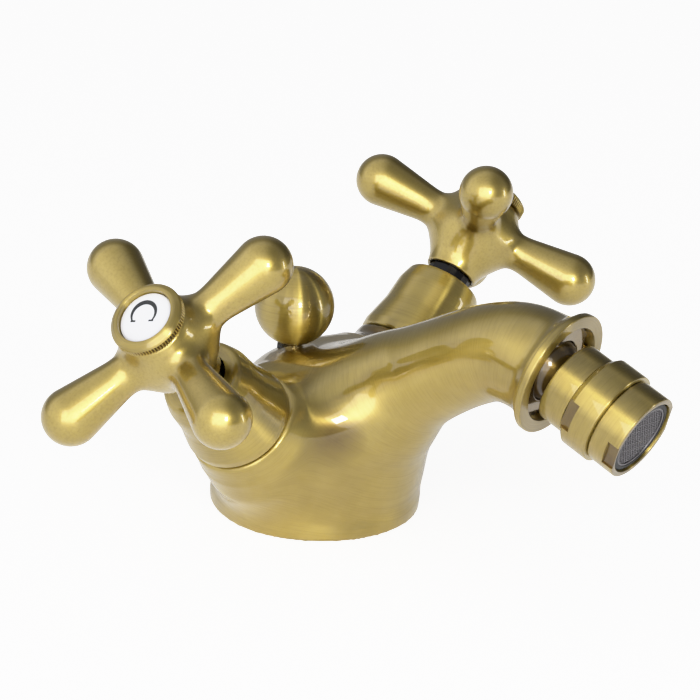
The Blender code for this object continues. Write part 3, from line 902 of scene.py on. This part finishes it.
def arm_outline():
    """A round bulb that tapers straight to a waist and runs on into the hub."""
    length = ARM_REACH - ARM_WAIST_REACH
    slope = atan2(length, ARM_WAIST_RADIUS) - acos(BULB_RADIUS / hypot(length, ARM_WAIST_RADIUS))
    count = 24
    bulb = []
    for i in range(count + 1):
        angle = (pi / 2 + slope) * i / count
        bulb.append((BULB_RADIUS * sin(angle), ARM_REACH + BULB_RADIUS * cos(angle)))
    bulb[0] = (0, ARM_REACH + BULB_RADIUS)
    return bulb + [(ARM_WAIST_RADIUS, ARM_WAIST_REACH), (5.2, 6), (5.2, 0), (0, 0)]


def handle_field():
    side_line = spline([(9.4, 7.2), (10, 4.5), (10.9, 1.5), (11.5, -1.5), (11.4, -4.5), (10.4, -7.4),
                        (9, -10), (7.9, -12.2), (HUB_RIM_RADIUS, HUB_RIM)], 36)
    hub = [(0, 9), (8.2, 9), (8.9, 8.5)] + [tuple(point) for point in side_line] + [(0, HUB_RIM)]
    whole = revolved(hub)
    for i in range(4):
        arm = Matrix.Rotation(radians(90 * i), 4, "Z") @ Matrix.Rotation(radians(90), 4, "Y")
        whole = merged(whole, revolved(arm_outline(), arm), 7)
    bore = revolved([(0, -7), (6.45, -7), (6.45, -18), (0, -18)])
    return carved(whole, bore, 0.3)


def make_handles():
    reach = ARM_REACH + BULB_RADIUS + 1
    low, high = (-reach, -reach, -17), (reach, reach, 15)
    mesh = field_mesh("cross_handle", handle_field(), low, high, HANDLE_GRID)[0]
    for side in SIDES:
        place = HANDLE_FRAMES[side] @ Matrix.Rotation(radians(ARM_TURN[side]), 4, "Z")
        make_piece(side + "_cross", mesh.copy(), place, BRASS_SATIN, side + "_handle", "antique_brass",
                   side + "_cross_handle")


def knurl(angle, radius, height):
    """Grooves across the back edge of the cap."""
    depth = KNURL_DEPTH if radius > CAP_RADIUS - 0.15 and KNURL_BAND[0] < height < KNURL_BAND[1] else 0
    return radius - depth * (0.5 + 0.5 * cos(KNURLS * angle))


def make_cap(side):
    outline = soften([(7.1, 12.55, 0.15), (7.9, 12.76, 1.2), (9.3, 11.6, 0.9), (CAP_RADIUS, 11.2),
                      (CAP_RADIUS, 11.05), (CAP_RADIUS, 9.3), (6.5, 9.3), (6.5, 6.4), (5.0, 6.4), (5.0, 10.0),
                      (7.1, 10.0)], 5)
    mesh = turned_mesh(side + "_cap", outline, KNURLS * 8, knurl)
    depths = [CAP_RADIUS - hypot(vertex.co.x, vertex.co.y) / MM for vertex in mesh.vertices]
    grooved = [KNURL_BAND[0] * MM < vertex.co.z < KNURL_BAND[1] * MM for vertex in mesh.vertices]
    store(mesh, "hollow", [depth / 0.5 if groove and depth < 1 else 0
                           for depth, groove in zip(depths, grooved)])
    make_piece(side + "_cap", mesh, HANDLE_FRAMES[side], BRASS_TURNED, side + "_handle", "antique_brass",
               side + "_index_cap")
    face = soften([(0, 11.45), (3.5, 11.43), (6.0, 11.35), (6.95, 11.2, 0.3), (6.95, 10.2), (0, 10.2)], 4)
    make_piece(side + "_porcelain", turned_mesh(side + "_porcelain", face), HANDLE_FRAMES[side], PORCELAIN,
               side + "_handle", "porcelain", side + "_index_disc")


def letter_mesh(name, strips):
    """Flat strokes, each a list of (left, right) pairs of (x, y) points, a little above the porcelain."""
    low, high = 11.2, 11.5
    shape = bmesh.new()
    for strip in strips:
        rings = []
        for left, right in strip:
            corners = ((*left, low), (*right, low), (*right, high), (*left, high))
            rings.append([shape.verts.new([v * MM for v in corner]) for corner in corners])
        for ring, following in zip(rings, rings[1:]):
            for n in range(4):
                shape.faces.new((ring[n], ring[(n + 1) % 4], following[(n + 1) % 4], following[n]))
        shape.faces.new(rings[0][::-1])
        shape.faces.new(rings[-1])
    bmesh.ops.recalc_face_normals(shape, faces=shape.faces)
    return finished_mesh(name, shape)


def bar(x, y, width, height):
    """A straight stroke from its lower left corner."""
    return [((x, y), (x + width, y)), ((x, y + height), (x + width, y + height))]


def make_letters():
    """C for the hot handle and F for the cold one, strokes of a plain book face."""
    outer, inner, shift, end, steps = 3.55, 2.93, 0.5, 126, 26
    arc = []
    for i in range(-steps, steps + 1):
        angle = radians(end * i / steps)
        side, along = sin(angle), cos(angle)
        arc.append(((outer * along, outer * side), (inner * along - shift, inner * side)))
    ticks = [bar(outer * cos(radians(end)) - 0.25, side * 2.45 - 0.65, 0.45, 1.3) for side in (-1, 1)]
    hot = letter_mesh("hot_letter", [arc] + ticks)
    cold = letter_mesh("cold_letter", [bar(-1.6, -3.2, 1.0, 6.4), bar(-1.6, 2.8, 4.0, 0.4),
                                       bar(2.0, 1.8, 0.4, 1.4), bar(-1.6, -0.2, 2.8, 0.4),
                                       bar(-2.2, -3.2, 2.2, 0.35)])
    for side, mesh, spot, turn in (("hot", hot, (0.9, 1.2), 20), ("cold", cold, (0, 0), 0)):
        place = HANDLE_FRAMES[side] @ Matrix.Translation((spot[0] * MM, spot[1] * MM, 0))
        place = place @ Matrix.Rotation(radians(turn), 4, "Z")
        make_piece(side + "_letter", mesh, place, INDEX_INK, side + "_handle", "porcelain")


def make_shroud(side):
    outside = soften([(6.9, -18), (10.3, -18, 2.2), (11.8, -23, 8), (12.3, -30, 10), (14.15, -38, 2.5),
                      (14.1, -40.7, 0.9), (12.6, -40.7, 0.2)], 8)
    inside = [(12.4, -37.5), (10.7, -28), (9.0, -19.8), (6.9, -19.8)]
    mesh = turned_mesh(side + "_shroud", outside + inside)
    make_piece(side + "_shroud", mesh, HANDLE_FRAMES[side], BRASS_TURNED, "mixer_body", "antique_brass",
               side + "_bonnet_shroud")


# ---- lift rod

def make_knob():
    radius, height, underside, steps = 10.6, 52.0, 42.8, 40
    low = sqrt(radius ** 2 - (height - underside) ** 2)
    start = degrees(acos(low / radius))
    ball = [(0, height + radius)]
    for i in range(1, steps + 1):
        angle = radians(90 - (90 + start) * i / steps)
        ball.append((radius * cos(angle), height + radius * sin(angle)))
    outline = ball + [(2.8, underside), (2.8, height - 1.6), (0, height - 1.6)]
    make_piece("knob", turned_mesh("knob", outline), ROD_FRAME, BRASS_TURNED, "lift_rod_body",
               "antique_brass", "lift_knob")


# ---- ball joint and aerator

def make_spout_end():
    seat = 8.9
    mouth_edge = sqrt(seat ** 2 - (BALL_DEPTH - 2) ** 2)
    nut = soften([(12.7, -2, 0.3), (12.7, -4.4, 0.2), (10, -4.4), (10, -5.4), (seat, -5.4),
                  (mouth_edge, -2, 0.4)], 4)
    mesh = turned_mesh("ball_nut", nut)
    store(mesh, "hollow", [0.55] * len(mesh.vertices))
    mesh = cut_boxes(mesh, [((11, -2.2, -5), (15, 2.2, 0), 26 + 120 * i) for i in range(3)])
    make_piece("ball_nut", mesh, FACE_FRAME, BRASS_GLOSS, "mixer_body", "antique_brass", "swivel_nut")
    ball_radius, stem, back, steps = 8.6, 5.6, 4.2, 30
    first, last = acos(stem / ball_radius), -acos(back / ball_radius)
    ball = []
    for i in range(steps + 1):
        angle = first + (last - first) * i / steps
        ball.append((ball_radius * cos(angle), ball_radius * sin(angle)))
    neck = soften([(8.2, 19.0), (9.0, 19.0), (9.0, 14.7), (10.7, 14.7, 0.2), (10.7, 7.5, 0.5),
                   (stem, 7.5)], 4)
    outline = neck + ball + [(3.6, ball[-1][1]), (3.6, 9.5), (8.2, 9.5)]
    mesh = turned_mesh("ball_and_neck", outline)
    store(mesh, "hollow", [0.6 if vertex.co.z < 7.4 * MM else 0 for vertex in mesh.vertices])
    make_piece("ball_and_neck", mesh, AERATOR_FRAME, BRASS_TURNED, "aerator_head", "antique_brass",
               "swivel_ball")


def make_aerator():
    collar = soften([(10.1, 23.7), (12.4, 23.7, 0.35), (12.4, 16.3, 0.3), (11.2, 14.95, 0.2), (9.3, 14.95),
                     (9.3, 19.3), (10.1, 19.3)], 4)
    mesh = cut_boxes(turned_mesh("collar", collar),
                     [((10.8, -4.0, 14), (14, 4.0, 18.2), 180 + 180 * i) for i in range(2)])
    make_piece("collar", mesh, AERATOR_FRAME, BRASS_TURNED, "aerator_head", "antique_brass", "aerator_collar")
    sleeve = soften([(10.0, 31.65, 0.15), (11.4, 31.65, 0.35), (11.4, 24.0, 0.3), (9.8, 24.0), (9.8, 19.95),
                     (8.4, 19.95), (8.4, 26.0), (10.0, 26.0)], 4)
    mesh = turned_mesh("sleeve", sleeve)
    # Painted shade: the sleeve's end face carries the patina colour, darker than the rest of the sleeve.
    store(mesh, "hollow", [0.45 if vertex.co.z > 31.6 * MM else 0 for vertex in mesh.vertices])
    mesh = cut_boxes(mesh, [((10.4, -3.6, 28.6), (14, 3.6, 33), 195 + 180 * i) for i in range(2)])
    make_piece("sleeve", mesh, AERATOR_FRAME, BRASS_TURNED, "aerator_head", "antique_brass", "aerator_sleeve")
    insert = soften([(8.5, 31.2, 0.2), (9.7, 31.2, 0.3), (9.7, 26.3), (8.1, 26.3), (8.1, 20.2), (5, 20.2),
                     (5, 30), (8.5, 30)], 4)
    make_piece("insert", turned_mesh("insert", insert), AERATOR_FRAME, BLACK_PLASTIC, "aerator_head",
               "black_plastic", "aerator_insert")
    make_mesh_screen()


def make_mesh_screen():
    """Woven wires in a round rim."""
    radius, pitch, level = 8.2, 0.62, 30.6
    shape = bmesh.new()
    count = int(radius / pitch)
    for along in (0, 1):
        for i in range(-count, count + 1):
            wire = 0.19 if along == 0 and i % 3 == 0 else 0.12
            across = i * pitch
            half = sqrt(radius ** 2 - across ** 2)
            steps = max(2, int(2 * half / (pitch / 2)))
            previous = None
            for k in range(steps + 1):
                at = -half + 2 * half * k / steps
                phase = pi * at / pitch + pi * (i % 2) + pi * along + pi / 2
                lift = level + wire * sin(phase) * 0.9
                ring = []
                for n in range(4):
                    angle = pi / 4 + n * pi / 2
                    side, up = wire * cos(angle), wire * sin(angle)
                    spot = (at, across + side) if along == 0 else (across + side, at)
                    ring.append(shape.verts.new((spot[0] * MM, spot[1] * MM, (lift + up) * MM)))
                if previous:
                    for n in range(4):
                        shape.faces.new((previous[n], ring[n], ring[(n + 1) % 4], previous[(n + 1) % 4]))
                previous = ring
    bmesh.ops.recalc_face_normals(shape, faces=shape.faces)
    mesh = finished_mesh("mesh_screen", shape)
    mesh.shade_smooth()
    make_piece("mesh_screen", mesh, AERATOR_FRAME @ Matrix.Rotation(radians(-10), 4, "Z"), DULL_STEEL,
               "aerator_head", "stainless_steel", "aerator_mesh")
    rim = soften([(8.0, 31.1, 0.15), (8.5, 31.1, 0.15), (8.5, 30.1, 0.15), (8.0, 30.1, 0.15)], 3)
    make_piece("mesh_rim", turned_mesh("mesh_rim", rim), AERATOR_FRAME, DULL_STEEL, "aerator_head",
               "stainless_steel")


# ---- carried-over CAD nodes

def paint_cad_nodes():
    slots = {part["node"]: part["material_slot"] for part in frame["record"]["subparts"]}
    for name, node in frame["nodes"].items():
        look = CAD_LOOKS[slots[name]]
        for holder in node.material_slots:
            holder.material = look


# ---- camera, floor and light

def make_camera():
    """The view from the front left, a little above the handles."""
    right, back = view_vectors()
    up = right.cross(-back)
    level = Matrix((right, up, back)).transposed()
    camera = new_object("camera", bpy.data.cameras.new("camera"))
    turn = level @ Matrix.Rotation(CAMERA_ROLL, 3, "Z")
    spot = (Vector(CAMERA_TARGET) + back * CAMERA_DISTANCE) * MM
    camera.matrix_world = Matrix.Translation(spot) @ turn.to_4x4()
    camera.data.lens = CAMERA_LENS
    camera.data.sensor_width = CAMERA_SENSOR
    camera.data.clip_start = 0.01
    bpy.context.scene.camera = camera


def bearing(azimuth, elevation):
    """The way out to a place round the mixer. Azimuth 0 is in front of the spout."""
    return Vector((sin(azimuth) * cos(elevation), -cos(azimuth) * cos(elevation), sin(elevation)))


def view_vectors():
    """The camera's right and back directions, without its roll."""
    back = bearing(CAMERA_AZIMUTH, CAMERA_ELEVATION)
    return (-back).cross(Vector((0, 0, 1))).normalized(), back


def soft_box(name, turn, elevation, distance, size, brightness):
    """A rectangular light, in metres, that looks at the mixer, turn degrees to the camera's right."""
    target = Vector((0, -0.01, 0.045))
    location = target + distance * bearing(CAMERA_AZIMUTH + radians(turn), radians(elevation))
    light = bpy.data.lights.new(name, "AREA")
    light.shape = "RECTANGLE"
    light.size, light.size_y = size
    light.energy = brightness * pi * size[0] * size[1]
    box = new_object(name, light)
    box.location = location
    box.rotation_euler = (target - location).to_track_quat("-Z", "Y").to_euler()


def make_floor():
    """A wide pale floor that is lit from within a little, as a light table is."""
    shape = bmesh.new()
    bmesh.ops.create_circle(shape, cap_ends=True, segments=64, radius=FLOOR_RADIUS)
    mesh = finished_mesh("floor", shape)
    floor = new_object("floor", mesh)
    floor.location.z = -FLOOR_GAP
    material = plain_material("floor_white", (0.85, 0.85, 0.85), 0.6, 0.0, 0.005)
    nodes, links = material.node_tree.nodes, material.node_tree.links
    shader = nodes["Principled BSDF"]
    shader.inputs["Emission Color"].default_value = (1, 1, 1, 1)
    seen = nodes.new("ShaderNodeLightPath").outputs["Is Camera Ray"]
    glow = range_node(nodes, links, seen, 0, 1, FLOOR_GLOW, FLOOR_SHOWN)
    links.new(glow, shader.inputs["Emission Strength"])
    mesh.materials.append(material)


def grey_ramp(nodes, links, value, stops):
    """A ramp of (position, brightness) stops."""
    return ramp_node(nodes, links, value, [(position, (grey,) * 3) for position, grey in stops])


def share_along(nodes, links, ray, way):
    """How far a ray points along a direction, from 0 for against it to 1 for along it."""
    dot = nodes.new("ShaderNodeVectorMath")
    dot.operation = "DOT_PRODUCT"
    dot.inputs[1].default_value = way
    links.new(ray, dot.inputs[0])
    return range_node(nodes, links, dot.outputs["Value"], -1, 1, 0, 1)


def make_world():
    """A white tent, open and grey above, and dimmer behind the mixer and on the camera's right."""
    world = bpy.data.worlds.new("studio")
    bpy.context.scene.world = world
    world.use_nodes = True
    nodes, links = world.node_tree.nodes, world.node_tree.links
    ray = nodes.new("ShaderNodeTexCoord").outputs["Generated"]
    parts = nodes.new("ShaderNodeSeparateXYZ")
    links.new(ray, parts.inputs[0])
    right, back = view_vectors()
    height = grey_ramp(nodes, links, parts.outputs["Z"], [(0.35, 1), (0.7, 0.85), (1.0, 0.6)])
    side = grey_ramp(nodes, links, share_along(nodes, links, ray, right),
                     [(0.45, 1), (0.55, 0.75), (0.68, 0.35), (0.8, 0.25)])
    depth = grey_ramp(nodes, links, share_along(nodes, links, ray, back),
                      [(0.0, 0.22), (0.34, 0.25), (0.5, 1)])
    color = mix_node(nodes, links, 1.0, height, side, "MULTIPLY")
    color = mix_node(nodes, links, 1.0, color, depth, "MULTIPLY")
    links.new(color, nodes["Background"].inputs["Color"])
    nodes["Background"].inputs["Strength"].default_value = 1.2


def develop():
    """A response like a camera's: true up to the middle tones, then a shoulder that holds the highlights."""
    settings = bpy.context.scene.view_settings
    settings.view_transform = "Standard"
    settings.use_curve_mapping = True
    mapping = settings.curve_mapping
    brightest = 3.0
    mapping.white_level = (brightest,) * 3
    curve = mapping.curves[3]
    curve.points[1].location = (1, 1)
    for light, shown in ((0.3, 0.3), (0.6, 0.6), (0.8, 0.78), (1.0, 0.9), (1.4, 0.96), (2.0, 0.99)):
        curve.points.new(light / brightest, shown)
    mapping.update()


def make_studio():
    make_floor()
    make_world()
    soft_box("key", turn=-5, elevation=20, distance=0.95, size=(1.0, 0.75), brightness=1.9)
    soft_box("window", turn=18, elevation=22, distance=0.9, size=(0.14, 0.20), brightness=20)
    soft_box("strip", turn=85, elevation=8, distance=0.8, size=(0.08, 0.3), brightness=6)
    develop()


make_camera()
make_studio()
make_body()
make_handles()
for side in SIDES:
    make_cap(side)
    make_shroud(side)
make_letters()
make_knob()
make_spout_end()
make_aerator()
paint_cad_nodes()
